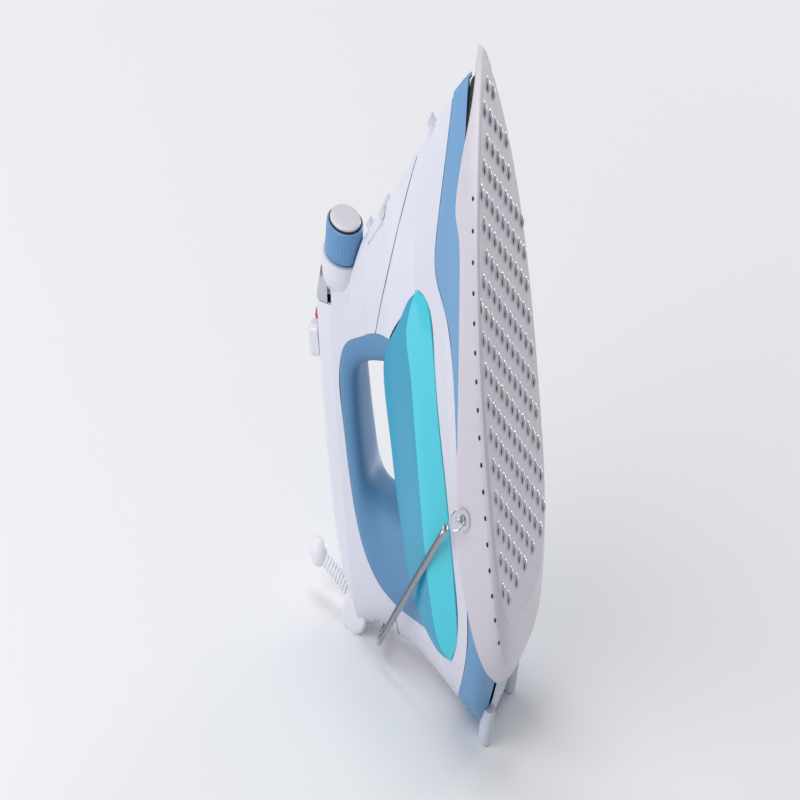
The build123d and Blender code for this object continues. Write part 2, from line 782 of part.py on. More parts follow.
tube_diameter = 3.0
with BuildPart() as pump_tubes:
    for route in (
        ((pump_x, pump_y, pump_bottom), (pump_x, pump_y, 92), (-74, 8, 78), (-58, 3, 62),
         (-38, 0, nozzle_height - 6)),
        ((pump_x, -pump_y, pump_bottom), (pump_x, -pump_y, 92), (-76, -11, 76), (-68, -11, 30),
         (-84, -9, 18), (-104, -8, 13.2)),
    ):
        with BuildLine() as tube_path:
            FilletPolyline(*route, radius=2.4)
        with BuildSketch(Plane(tube_path.line @ 0, z_dir=tube_path.line % 0)):
            Circle(tube_diameter / 2)
        sweep()
pump_tubes.part.label = "pump_tubes"

with BuildPart() as indicator_lamp:
    with BuildSketch(Plane.XY.offset(handle_top - 8.6)):
        with Locations((lens_x, 0)):
            Circle(2.4)
    extrude(amount=4.6)
indicator_lamp.part.label = "indicator_lamp"

block_depth = heel_depth + shell_wall - 1.4
wall_and_beyond = stacked(body_levels, -2) - cavity
with BuildPart() as terminal_block:
    with BuildSketch(heel.offset(block_depth)):
        with Locations(((cover_low + cover_high) / 2, 0)):
            RectangleRounded(cover_high - cover_low - 10, 20, 2)
    extrude(amount=12)
    add(wall_and_beyond, mode=Mode.SUBTRACT)
    add(rear_screws.part, mode=Mode.SUBTRACT)
terminal_block.part.label = "terminal_block"

# ---- cord outlet ----
swivel_plane = Plane(origin=(swivel[0], 0, swivel[1]), x_dir=(0, 1, 0),
                     z_dir=(cos(radians(guard_lean)), 0, sin(radians(guard_lean))))
swing_plane = Plane(origin=(swivel[0], 0, swivel[1]),
                    x_dir=(cos(radians(guard_lean)), 0, sin(radians(guard_lean))),
                    z_dir=(sin(radians(guard_lean)), 0, -cos(radians(guard_lean))))
gland_width = 27
swing = 35                              # degrees each side
swing_air = 0.6                         # round the guard as it swings
room_half = guard_diameter / 2 + swing_air
room_length = 26
swing_pin_diameter = 4.0
swing_pin_half = 7.0                    # from the swivel's centre to either end of its pin
near_x, near_y = -room_half * sin(radians(swing)), room_half * cos(radians(swing))
far_x = near_x + room_length * cos(radians(swing))
far_y = near_y + room_length * sin(radians(swing))
with BuildPart() as guard_room:
    with BuildSketch(swing_plane.offset(-room_half)):
        with BuildLine():
            Polyline((near_x, near_y), (far_x, far_y), (room_length, far_y),
                     (room_length, -far_y), (far_x, -far_y), (near_x, -near_y), close=True)
        make_face()
    extrude(amount=2 * room_half)

with BuildPart() as cord_gland:
    with BuildSketch(Plane.XZ.offset(-gland_width / 2)):
        with Locations((swivel[0], swivel[1])):
            Circle(gland_radius)
    extrude(amount=gland_width)
    fillet(edges().filter_by(GeomType.CIRCLE), radius=3)
    with BuildSketch(heel):
        Rectangle(2 * reach * 3, 2 * reach)
    extrude(amount=-reach, mode=Mode.SUBTRACT)
    add(guard_room.part, mode=Mode.SUBTRACT)
    with BuildSketch(swing_plane.offset(-room_half)):
        Circle(swivel_radius + moving_gap)
    extrude(amount=2 * room_half, mode=Mode.SUBTRACT)
    with BuildSketch(swing_plane.offset(-swing_pin_half - moving_gap)):
        Circle(swing_pin_diameter / 2 + running_gap)
    extrude(amount=2 * (swing_pin_half + moving_gap), mode=Mode.SUBTRACT)
cord_gland.part.label = "cord_gland"
with BuildPart() as gland_room:
    with BuildSketch(Plane.XZ.offset(-gland_width / 2)):
        with Locations((swivel[0], swivel[1])):
            Circle(gland_radius)
    extrude(amount=gland_width)

rib_pitch = 3.2
with BuildPart() as cord_guard:
    with BuildSketch(swing_plane.offset(-guard_diameter / 2)):
        Circle(swivel_radius)
    extrude(amount=guard_diameter)
    with BuildSketch(swing_plane.offset(-swing_pin_half)):
        Circle(swing_pin_diameter / 2)
    extrude(amount=2 * swing_pin_half)
    with BuildSketch(swivel_plane):
        Circle(guard_diameter / 2)
    extrude(amount=guard_length)
    for rib in range(7):
        with BuildSketch(swivel_plane.offset(13 + rib * rib_pitch)):
            Circle(guard_diameter / 2 + 0.1)
            Circle(guard_diameter / 2 - 0.7, mode=Mode.SUBTRACT)
        extrude(amount=1.2, mode=Mode.SUBTRACT)
    with Locations(swivel_plane.offset(guard_length)):
        Sphere(bead_diameter / 2)
    with BuildSketch(swivel_plane.offset(guard_length + bead_diameter)):
        Circle(3.3)
    extrude(amount=-bead_diameter, mode=Mode.SUBTRACT)
cord_guard.part.label = "cord_guard"

# ---- handle cover ----
button_rooms = [button_body(sign, moving_gap, button_travel + moving_gap) for sign in (-1, 1)]
door_opening = door_zone(door_slot)
with BuildPart() as handle_cover:
    add(body_wall)
    add(above_parting, mode=Mode.INTERSECT)
    with BuildSketch(dial_plane):
        Circle(collar_radius)
    extrude(amount=-collar_depth)
    with BuildSketch(dial_plane.offset(-shell_wall)):
        Circle(collar_radius - shell_wall)
    extrude(amount=-2 * collar_depth, mode=Mode.SUBTRACT)
    with BuildSketch(dial_plane.offset(1)):
        Circle(shaft_diameter / 2 + moving_gap)
    extrude(amount=-8, mode=Mode.SUBTRACT)
    for zone in (tank_zone, grip_zone, below_skirt_edge, cover_zone.part, gap, gland_room.part,
                 guard_room.part):
        add(zone, mode=Mode.SUBTRACT)
    for room in button_rooms:
        add(room, mode=Mode.SUBTRACT)
    with BuildSketch(Plane.XY.offset(handle_top - 12)):
        with Locations((lens_x, 0)):
            SlotOverall(lens_width, lens_length, rotation=90)
    extrude(amount=20, mode=Mode.SUBTRACT)
    with BuildSketch(Plane.XY.offset(handle_top + 2)):
        with Locations((slot_x, 0)):
            SlotOverall(slot_length, 3.2 + 2 * moving_gap)
    extrude(amount=-8, mode=Mode.SUBTRACT)
    add(door_opening, mode=Mode.SUBTRACT)
    with BuildSketch(hinge_plane.offset(-4.9)):
        Circle(knuckle_radius + moving_gap)
    extrude(amount=9.8, mode=Mode.SUBTRACT)
    for sign in (-1, 1):
        with BuildSketch(hinge_plane.offset(sign * 4.9)):
            Circle(knuckle_radius)
        extrude(amount=sign * 3.6)
    with BuildSketch(hinge_plane.offset(-8.2)):
        Circle(pin_diameter / 2)
    extrude(amount=16.4, mode=Mode.SUBTRACT)
handle_cover.part.label = "handle_cover"

body_shell.part = body_shell.part - nozzle_hole.part - handle_cover.part
body_shell.part.label = "body_shell"

pieces = [
    shoe_shell.part, shoe_eyelets.part, split_rings.part, shoe_spring.part, soleplate.part,
    heating_element.part, steam_cover.part, thermostat.part, thermal_fuse.part, heat_shield.part,
    heel_base.part, skirt.part, base_screws.part, rear_cover.part, rear_screws.part,
    body_shell.part, handle_cover.part, water_tank.part, grip.part, dial_control.part,
    dial_shaft.part, dial.part, dial_cap.part, steam_button, spray_button, steam_pump, spray_pump,
    button_springs.part, slider_knob.part, slide_switch.part, indicator_lens.part,
    indicator_lamp.part, control_board.part, board_screws.part, filler_door.part, door_pin.part,
    filler_neck.part, filler_gasket.part, drip_valve.part, pump_tubes.part, spray_nozzle.part,
    terminal_block.part, cord_gland.part, cord_guard.part,
]

# ---- stand the iron on its heel, origin on the table under its middle ----
tipped = Location((0, 0, 0), (0, heel_angle - 180, 0))
box = Compound([piece.moved(tipped) for piece in pieces]).bounding_box()
table = (tipped * Location((foot_tip[0], 0, foot_tip[1]))).position.Z
stand = Location((-box.center().X, -box.center().Y, -table)) * tipped

os.makedirs("parts", exist_ok=True)
for piece in pieces:
    name = piece.label
    standing = piece.moved(stand)
    standing.label = name
    export_step(standing, f"parts/{name}.step")
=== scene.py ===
import json
import math

import bpy
import numpy as np
from bpy.props import FloatProperty, IntProperty, PointerProperty
from mathutils import Matrix, Vector


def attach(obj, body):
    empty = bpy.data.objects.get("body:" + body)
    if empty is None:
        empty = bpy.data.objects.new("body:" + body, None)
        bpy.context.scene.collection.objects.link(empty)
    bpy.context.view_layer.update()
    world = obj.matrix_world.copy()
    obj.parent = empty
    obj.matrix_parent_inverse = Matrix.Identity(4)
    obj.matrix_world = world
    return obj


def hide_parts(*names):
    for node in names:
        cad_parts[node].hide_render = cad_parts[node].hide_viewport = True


bl_info = {
    "name": "Steam iron with ironing shoe",
    "version": (1, 0, 0),
    "blender": (4, 5, 0),
    "location": "View3D > Sidebar > Iron",
    "description": "Draws a steam iron wearing a clip-on ironing shoe round its CAD frame",
    "category": "Object",
}

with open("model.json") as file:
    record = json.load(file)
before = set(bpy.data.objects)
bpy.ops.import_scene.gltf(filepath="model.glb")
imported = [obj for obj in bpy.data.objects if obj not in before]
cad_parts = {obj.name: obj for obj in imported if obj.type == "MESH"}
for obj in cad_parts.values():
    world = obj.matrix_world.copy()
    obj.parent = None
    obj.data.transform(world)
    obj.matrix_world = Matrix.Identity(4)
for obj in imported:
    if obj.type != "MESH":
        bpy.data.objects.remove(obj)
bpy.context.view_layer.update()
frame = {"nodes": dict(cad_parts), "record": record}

# ---------------------------------------------------------------- the sole's own frame

REST = next(m for m in frame["record"]["mounts"] if m["name"] == "sole_rest")
REST_AT = np.array((-120.0, 4.5, 0.0))      # the mount in the sole's frame, mm
UP = -np.array(REST["axis"], float)
LEFT = np.array((0.0, 1.0, 0.0))
FORWARD = np.cross(LEFT, UP)


def to_row(points):
    """Row-frame points (m) from sole-frame ones (mm): X forward, Y left, Z up off the sole."""
    p = (np.asarray(points, float) - REST_AT) / 1000
    return np.array(REST["pos_m"]) + p[..., :1] * FORWARD + p[..., 1:2] * LEFT + p[..., 2:] * UP


def to_sole(points):
    """Sole-frame points (mm) from row-frame ones (m)."""
    p = (np.asarray(points, float) - np.array(REST["pos_m"])) * 1000
    return np.stack([p @ FORWARD, p @ LEFT, p @ UP], -1) + REST_AT


# ---------------------------------------------------------------- sections of the forms
# height, tail x, nose x, half width, bluntness of the nose (mm)

BODY = [
    (9, -258, -5, 54.6, 1.0), (16, -264, -8, 54.6, 1.0), (24, -274.7, -13, 52.4, 1.05),
    (28, -282.5, -15.5, 51.4, 1.05), (33, -288, -18.5, 50.4, 1.1),
    (44, -281, -27, 49.1, 1.2), (58, -270.5, -38, 46.6, 1.4), (73, -263.5, -50, 36.6, 1.8),
    (86, -257.5, -61, 27.6, 2.2), (104, -251, -74, 22.6, 2.6), (118, -246, -83, 21.6, 3.0),
    (135, -246, -83, 20.6, 3.0), (144, -228, -88, 15.6, 3.0), (148.5, -208, -97, 10.6, 3.0),
    (150, -190, -115, 6.6, 3.0),
]
SHOE = [
    (0, -241, 3, 54.5, 1.08), (1.2, -247, 4, 56.8, 1.08), (4, -260, 5, 58, 1.08),
    (9, -265, 4, 58, 1.08), (18, -269, 0, 57.5, 1.08), (34, -268, -9, 55.5, 1.08),
]
TAIL_SHARE, TAIL_POWER, FLANK_POWER, TAIL_PART = 0.32, 3.2, 2.35, 0.34

SKIRT_EDGE = [(-300, 68), (-292, 62), (-273, 52), (-259, 42), (-244, 33.5), (-222, 28.5),
              (-154, 27), (-110, 28), (-94, 33), (-79, 40.5), (-66, 39.5), (-40, 33),
              (-14, 27.5), (12, 23)]
SKIRT_FOOT = [(-320, 31.5), (-284, 31.5), (-262, 17), (-230, 15), (-30, 15), (-8, 12), (12, 9)]
RIM_EDGE = [(-290, 14), (-262, 15.5), (-250, 20), (-236, 24), (-222, 26.5), (-198, 30),
            (-176, 28.5), (-153, 25), (-118, 20), (-86, 17), (-65, 16.5), (-52, 20), (-36, 16),
            (-14, 8), (12, 4)]
TANK_TOP = [(-247, 47), (-243, 60), (-232, 74), (-215, 83.5), (-189, 87.5), (-160, 90),
            (-129, 92.5), (-116, 88), (-101, 73), (-92, 64), (-87, 55)]
TANK_BOTTOM = [(-247, 47), (-233, 38.5), (-201, 37), (-170, 38), (-137, 41), (-112, 42.5),
               (-93, 46), (-87, 55)]
TANK_RIDGE = [(-247, 47), (-238, 56), (-215, 60), (-187, 61), (-159, 61.5), (-125, 63),
              (-104, 66), (-87, 57)]
GRIP_EDGE = [(-237, 62), (-236.5, 74), (-236, 84), (-233, 96), (-226, 108), (-213, 118.5),
             (-193, 125.5), (-170, 128.5), (-148, 130), (-126, 129.5), (-117, 124),
             (-113.5, 112), (-111, 98), (-112, 86), (-113, 76)]
GRIP_GAP = [(-214, 68), (-204, 74), (-193, 82), (-191.5, 92), (-189, 102), (-185, 111),
            (-177.5, 116.5), (-164, 118), (-148, 118.5), (-135, 118), (-129.5, 114.5),
            (-127.3, 107), (-127, 96), (-127, 84), (-127, 76)]


def curve(points, count):
    """Points of a smooth curve through the given ones (Catmull-Rom), even in each span."""
    p = np.asarray(points, float)
    p = np.vstack([2 * p[0] - p[1], p, 2 * p[-1] - p[-2]])
    u = np.linspace(0, len(points) - 1, count)
    k = np.minimum(u.astype(int), len(points) - 2)
    t = (u - k)[:, None]
    a, b, c, d = p[k], p[k + 1], p[k + 2], p[k + 3]
    return 0.5 * (2 * b + (c - a) * t + (2 * a - 5 * b + 4 * c - d) * t**2
                  + (3 * b - a - 3 * c + d) * t**3)


def height_of(points):
    """A smooth height as a function of x, from (x, z) points in rising x."""
    c = curve(points, 400)
    return lambda x: np.interp(x, c[:, 0], c[:, 1])


def softened(levels, spread):
    """Even rows along a stack of levels, blurred over spread mm so that no level shows."""
    levels = np.asarray(levels, float)
    run = np.r_[0, np.cumsum(np.linalg.norm(np.diff(levels[:, (0, 1, 3)], axis=0), axis=1))]
    even = np.linspace(0, run[-1], 800)
    rows = np.stack([np.interp(even, run, c) for c in levels.T], 1)
    reach = int(3 * spread / even[1])
    bell = np.exp(-0.5 * (np.arange(-reach, reach + 1) * even[1] / spread) ** 2)
    rows = np.vstack([2 * rows[0] - rows[reach:0:-1], rows, 2 * rows[-1] - rows[-2:-reach - 2:-1]])
    return np.stack([np.convolve(c, bell / bell.sum(), "valid") for c in rows.T], 1)


BODY_ROWS = softened(BODY, 4.5)
SHOE_ROWS = softened(SHOE, 1.2)


def section(rows, z):
    """Tail, nose, half width and bluntness at height z."""
    return [np.interp(z, rows[:, 0], rows[:, k]) for k in (1, 2, 3, 4)]


def outline(rows, around, z):
    """x and y on the form: around runs 0 at the tail, along the right side to 0.5 at the nose,
    and back along the left. A superellipse quarter at the tail, a tapering flank ahead."""
    tail, nose, half, blunt = section(rows, z)
    along = 1 - abs(2 * around - 1)
    widest = TAIL_SHARE * (nose - tail)
    turn = np.clip(along / TAIL_PART, 0, 1) * math.pi / 2
    share = np.sin(np.clip((along - TAIL_PART) / (1 - TAIL_PART), 0, 1) * math.pi / 2)
    back = along < TAIL_PART
    x = np.where(back, widest * (1 - np.cos(turn) ** (2 / TAIL_POWER)),
                 widest + share * (nose - tail - widest))
    y = np.where(back, np.sin(turn) ** (2 / TAIL_POWER),
                 np.maximum(1 - share**FLANK_POWER, 0) ** (1 / blunt))
    return tail + x, np.where(around < 0.5, -1, 1) * half * y


def envelope(x, z):
    """Half depth of the body at (x, z), the same form as outline()."""
    tail, nose, half, blunt = section(BODY_ROWS, z)
    widest = TAIL_SHARE * (nose - tail)
    back = np.clip((tail + widest - x) / widest, 0, 1)
    share = np.clip((x - tail - widest) / (nose - tail - widest), 0, 1)
    return half * np.where(x < tail + widest, (1 - back**TAIL_POWER) ** (1 / TAIL_POWER),
                           (1 - share**FLANK_POWER) ** (1 / blunt))


# ---------------------------------------------------------------- meshes

def grid_piece(name, points, material, body, nodes=(), wrap=(False, False), sharp=45):
    """An object from a grid of sole-frame points (rows, columns, 3). Points that fall together
    are merged, so poles and seams close, and the faces are turned to face outward."""
    rows, columns = points.shape[:2]
    flat = to_row(points).reshape(-1, 3)
    _, first, same = np.unique(np.round(flat, 6), axis=0, return_index=True, return_inverse=True)
    index = same.reshape(rows, columns)
    if wrap[0]:
        index = np.vstack([index, index[:1]])
    if wrap[1]:
        index = np.hstack([index, index[:, :1]])
    quads = np.stack([index[:-1, :-1], index[1:, :-1], index[1:, 1:], index[:-1, 1:]], -1)
    quads = quads.reshape(-1, 4)
    corners = flat[first]
    a, b, c, d = (corners[quads[:, k]] for k in range(4))
    volume = np.einsum("ij,ij->", a, np.cross(b, c)) + np.einsum("ij,ij->", a, np.cross(c, d))
    if volume < 0:
        quads = quads[:, ::-1]
    faces = []
    for quad in quads.tolist():
        face = [v for k, v in enumerate(quad) if v != quad[k - 1]]
        if len(set(face)) == len(face) and len(face) > 2:
            faces.append(face)
    mesh = bpy.data.meshes.new(name)
    mesh.from_pydata(corners.tolist(), [], faces)
    mesh.validate()
    mesh.shade_smooth()
    mesh.set_sharp_from_angle(angle=math.radians(sharp))
    mesh.materials.append(material)
    piece = bpy.data.objects.new(name, mesh)
    bpy.context.scene.collection.objects.link(piece)
    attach(piece, body)
    if nodes:
        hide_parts(*nodes)
    return piece


def band(rows, lower, upper, count, steps, wall, roll):
    """A closed band round a form, between two heights that change along x. Its section is an
    outer face with both edges rolled in by roll, and a flat inner wall. Each point's height is
    found by turns with its x, as the form leans."""
    around = np.arange(count)[:, None] / count
    bend = np.radians(np.linspace(0, 90, 5))
    loop = [(0, roll * (1 - math.cos(t)), roll * (1 - math.sin(t))) for t in bend]
    loop += [(s, 0, 0) for s in np.linspace(0, 1, steps + 2)[1:-1]]
    loop += [(1, -roll * (1 - math.cos(t)), roll * (1 - math.sin(t))) for t in bend[::-1]]
    loop += [(1, 0, wall), (0.5, 0, wall), (0, 0, wall)]
    share, shift, inset = np.array(loop).T
    z = np.full((count, len(loop)), 30.0)
    for _ in range(24):
        x, y = outline(rows, around, z)
        low, high = lower(x), upper(x)
        z = 0.5 * z + 0.5 * (low + share * (high - low) + shift)
    x, y = outline(rows, around, z)
    return np.stack([*drawn_in(x, y, inset, around), z], -1)


def drawn_in(x, y, inset, around):
    """The outline moved in square to itself, never past the middle."""
    step_x, step_y = np.roll(x, -1, 0) - np.roll(x, 1, 0), np.roll(y, -1, 0) - np.roll(y, 1, 0)
    length = np.hypot(step_x, step_y)
    side = np.where(around < 0.5, -1, 1)
    moved = side * np.maximum(side * (y + inset * step_x / length), 0.02)
    return x - inset * step_y / length, np.where(abs(y) < 1e-6, 0, moved)


def tube(path, radius, sides=16):
    """A closed round tube along a path; radius is one number or one per point. The frame is
    carried along without twist, and both ends close to a point."""
    path = np.asarray(path, float)
    radius = np.broadcast_to(radius, len(path)).astype(float)
    way = np.gradient(path, axis=0)
    way /= np.linalg.norm(way, axis=1)[:, None]
    normal = np.cross(way[0], (0.3, 0.5, 0.81))
    rings, turn = [], np.linspace(0, 2 * math.pi, sides, endpoint=False)[:, None]
    for place, t in enumerate(way):
        normal = normal - t * (normal @ t)
        normal /= np.linalg.norm(normal)
        rings.append(path[place] + radius[place] * (np.cos(turn) * normal
                                                     + np.sin(turn) * np.cross(t, normal)))
    ends = [np.repeat(path[k][None], sides, 0) for k in (0, -1)]
    return np.array([ends[0], *rings, ends[1]])


def turned(profile, base, axis, sides, flutes=0, depth=0.0):
    """A turned form: profile is (distance along the axis, radius) pairs from the base; flutes
    are shallow waves round it where the profile's third number is 1."""
    axis = np.asarray(axis, float) / np.linalg.norm(axis)
    across = np.cross(axis, (0, 1, 0))
    across /= np.linalg.norm(across)
    other = np.cross(axis, across)
    turn = np.linspace(0, 2 * math.pi, sides, endpoint=False)[None, :]
    along, radius, fluted = (np.array([(*p, 0)[:3] for p in profile], float).T)[:, :, None]
    radius = radius - fluted * depth * (0.5 - 0.5 * np.cos(flutes * turn)) ** 2
    return (np.asarray(base, float) + along[..., None] * axis
            + radius[..., None] * (np.cos(turn)[..., None] * across
                                   + np.sin(turn)[..., None] * other))


# ---------------------------------------------------------------- materials

def linear(code):
    """Linear colour from an sRGB hex code."""
    channels = [int(code[k:k + 2], 16) / 255 for k in (1, 3, 5)]
    return (*(c / 12.92 if c < 0.04045 else ((c + 0.055) / 1.055) ** 2.4 for c in channels), 1.0)


def add_node(tree, kind, **values):
    """Adds a shader node. A value that names an input goes to that socket, linked if it is a
    socket itself; any other value is set on the node."""
    made = tree.nodes.new(kind)
    for name, value in values.items():
        label = name.replace("_", " ")
        if label in made.inputs:
            if isinstance(value, bpy.types.NodeSocket):
                tree.links.new(value, made.inputs[label])
            else:
                made.inputs[label].default_value = value
        else:
            setattr(made, name, value)
    return made


def finish_of(name, colour, rough, *, shade=None, grain=900.0, grain_depth=0.03, patch=14.0,
              metal=0.0, ior=1.46, coat=0.0, sheen=0.0, glow=0.0):
    """A material with three things the eye reads: a fine moulded or brushed grain that breaks
    up highlights, broad patches where colour and gloss drift, and its own gloss. grain is in
    waves a metre, patch is the patches' scale a metre, and shade is the patches' colour."""
    made = bpy.data.materials.new(name)
    made.use_nodes = True
    tree = made.node_tree
    shader = tree.nodes["Principled BSDF"]
    place = add_node(tree, "ShaderNodeTexCoord").outputs["Object"]
    broad = add_node(tree, "ShaderNodeTexNoise", Vector=place, Scale=patch, Detail=3.0)
    fine = add_node(tree, "ShaderNodeTexNoise", Vector=place, Scale=grain, Detail=2.0)
    drift = add_node(tree, "ShaderNodeMix", data_type="RGBA")
    tree.links.new(broad.outputs["Fac"], drift.inputs["Factor"])
    drift.inputs[6].default_value = linear(colour)
    drift.inputs[7].default_value = linear(shade or colour)
    tree.links.new(drift.outputs[2], shader.inputs["Base Color"])
    gloss = add_node(tree, "ShaderNodeMapRange")
    tree.links.new(broad.outputs["Fac"], gloss.inputs["Value"])
    gloss.inputs["To Min"].default_value = rough * 0.85
    gloss.inputs["To Max"].default_value = min(rough * 1.25, 1)
    tree.links.new(gloss.outputs["Result"], shader.inputs["Roughness"])
    bump = add_node(tree, "ShaderNodeBump", Strength=grain_depth, Distance=0.0002)
    tree.links.new(fine.outputs["Fac"], bump.inputs["Height"])
    tree.links.new(bump.outputs["Normal"], shader.inputs["Normal"])
    shader.inputs["Metallic"].default_value = metal
    shader.inputs["IOR"].default_value = ior
    shader.inputs["Coat Weight"].default_value = coat
    shader.inputs["Sheen Weight"].default_value = sheen
    if glow:
        shader.inputs["Emission Color"].default_value = linear(colour)
        shader.inputs["Emission Strength"].default_value = glow
    return made


def make_finishes():
    """Every material of the iron, by the name of its slot or part."""
    return {
        # moulded shoe with a pearl pigment: a soft wide sheen, warm grey where it turns away
        "pearl_plastic": finish_of("Pearl white moulded PTFE shoe", "#DAD6DF", 0.3,
                                   shade="#CFC9D2", coat=0.15),
        # glossy white shell with a lilac tint: clean highlights on the curves
        "white_plastic": finish_of("White injection-moulded ABS", "#E2E2ED", 0.22,
                                   shade="#DADAE8", coat=0.3),
        # the pale underside of the tail and its feet
        "pale_plastic": finish_of("Pale grey moulded polypropylene", "#D3D8E3", 0.38,
                                  shade="#C8CFDC"),
        # the dial's cap: satin off-white
        "cap_plastic": finish_of("Off-white moulded dial cap", "#DDDBE2", 0.35,
                                 shade="#D6D4DC"),
        # blue skirt: satin, lighter at the front
        "blue_plastic": finish_of("Blue satin moulded ABS", "#7FAAD2", 0.3, shade="#719FCA"),
        # the dial's barrel: the skirt's blue, a shade deeper
        "dial_plastic": finish_of("Blue satin moulded dial", "#6B9CCB", 0.33, shade="#5F90C0"),
        # tinted tank: deep glossy cyan with a darker drift
        "tank_plastic": finish_of("Cyan tinted SAN tank", "#4FD3E4", 0.14, shade="#3CC8DC",
                                  coat=0.3, ior=1.57, patch=9.0),
        # painted shade: a darker copy of the tank's cyan for its upper facet, where the dark inside
        # shows through
        "tank_deep": finish_of("Cyan SAN tank with painted shade, upper facet", "#1195BC", 0.14,
                               shade="#1BA5C6", coat=0.3, ior=1.57, patch=9.0),
        # soft-touch rubber: matt, with a light bloom at grazing angles
        "soft_grip": finish_of("Blue soft-touch overmould", "#6595BE", 0.52, shade="#5C8BB6",
                               sheen=0.25, grain=1600.0, grain_depth=0.08),
        # eyelets and rings: nearly a mirror, only dulled a little
        "chrome": finish_of("Bright chrome plate", "#D5D7DC", 0.1, metal=1.0, grain_depth=0.01),
        # wire: fine drawing marks soften the glints on each turn
        "spring_steel": finish_of("Drawn and plated spring wire", "#C9CCD2", 0.18, metal=1.0,
                                  grain=2500.0, grain_depth=0.04),
        # plated buttons: a bluish mirror
        "button_chrome": finish_of("Chrome-plated ABS button", "#C4C8D2", 0.14, metal=1.0),
        # the hot plate and steam cover: a grey casting skin
        "cast_aluminium": finish_of("Die-cast aluminium", "#9EA1A6", 0.42, metal=1.0,
                                    shade="#8E9196", grain=700.0, grain_depth=0.12),
        # the heater's sheath: browned by heat
        "element_steel": finish_of("Sheathed heater steel", "#777268", 0.45, metal=1.0),
        # screws, pin and springs inside: a soft metal shine
        "screw_steel": finish_of("Zinc-plated screw steel", "#B5B8BC", 0.3, metal=1.0),
        # the ring above the hot plate: a dark moulding, whose near black also paints the shade of the
        # deep gap at the nose; the spring's core takes this black as painted shade too
        "black_phenolic": finish_of("Black phenolic moulding", "#14151C", 0.4,
                                    shade="#1B1D26", grain_depth=0.1),
        # mouldings inside the body
        "inner_plastic": finish_of("Pale grey moulded polyamide", "#B9BEC8", 0.45),
        # the lamp's window: glossy red with a faint light behind it
        "red_lens": finish_of("Red polycarbonate lens", "#B4262F", 0.1, coat=0.6, ior=1.58,
                              glow=0.15),
        # the circuit board
        "board_green": finish_of("Solder-masked fibreglass board", "#1E5B3A", 0.35),
        # the filler's seal
        "gasket_rubber": finish_of("Grey silicone gasket", "#8A8F96", 0.6),
        # the cord guard and its gland: soft, waxy white
        "pale_rubber": finish_of("White flexible PVC", "#EDEDF2", 0.42, shade="#E2E2E8",
                                 grain_depth=0.08),
        # the shadow in a moulded joint
        "seam_dark": finish_of("Shadow line between mouldings", "#5A5864", 0.8),
        # painted shade: dark slits that stand for the unlit inside of the steam holes
        "slit_dark": finish_of("Painted shade in a steam hole", "#23222A", 0.7, shade="#2B2930"),
    }


# ---------------------------------------------------------------- settings

class IRON_PG_proportions(bpy.types.PropertyGroup):
    """Fine sizes that the CAD frame leaves out."""

    dimple_height: FloatProperty(name="Dimple height", default=1.9, unit="NONE",
                                 description="How far a steam dimple stands off the sole, mm")
    dimple_length: FloatProperty(name="Dimple length", default=6.4,
                                 description="Length of a dimple along the sole, mm")
    dimple_width: FloatProperty(name="Dimple width", default=5.0,
                                description="Width of a dimple across the sole, mm")
    coil_wire: FloatProperty(name="Spring wire", default=0.95,
                             description="Wire diameter of the shoe's spring, mm")
    coil_pitch: FloatProperty(name="Spring pitch", default=1.12,
                              description="Distance between the spring's turns, mm")
    flutes: IntProperty(name="Dial flutes", default=36,
                        description="Grip flutes round the dial")
    ribs: IntProperty(name="Guard ribs", default=13,
                      description="Ribs along the cord guard")


class IRON_PG_stage(bpy.types.PropertyGroup):
    """Camera and light."""

    squeeze: FloatProperty(name="Picture squeeze", default=1.85,
                           description="How much taller than wide the picture draws the iron")
    distance: FloatProperty(name="Camera distance", default=12.0, unit="LENGTH",
                            description="Camera to the middle of the picture")
    width: FloatProperty(name="Picture width", default=0.605, unit="LENGTH",
                         description="What the picture's width covers at the iron")
    key_power: FloatProperty(name="Key light", default=26.0, unit="POWER",
                             description="Power of the main soft box")
    fill: FloatProperty(name="Fill light", default=0.42,
                        description="Strength of the even light from all round")


LOOKS = {}


# ---------------------------------------------------------------- pieces

def dimple_places():
    """Staggered rows of steam dimples that follow the sole's outline, (x, y) in mm."""
    places = []
    for row in range(-5, 6):
        across = row * 9.0
        front = -9 - 230 * 0.68 * (1 - (1 - abs(across) / 53) ** 0.426)
        rear = -223 + 7 * (row % 2)
        count = int((front - rear + 7 * (row % 2)) / 14) + 1
        places += [(rear + 14 * k, across) for k in range(count)]
    return np.array(places)


RIM_HOLES = [(-236 + 11.8 * k, side) for k in range(17) for side in (-1, 1)]


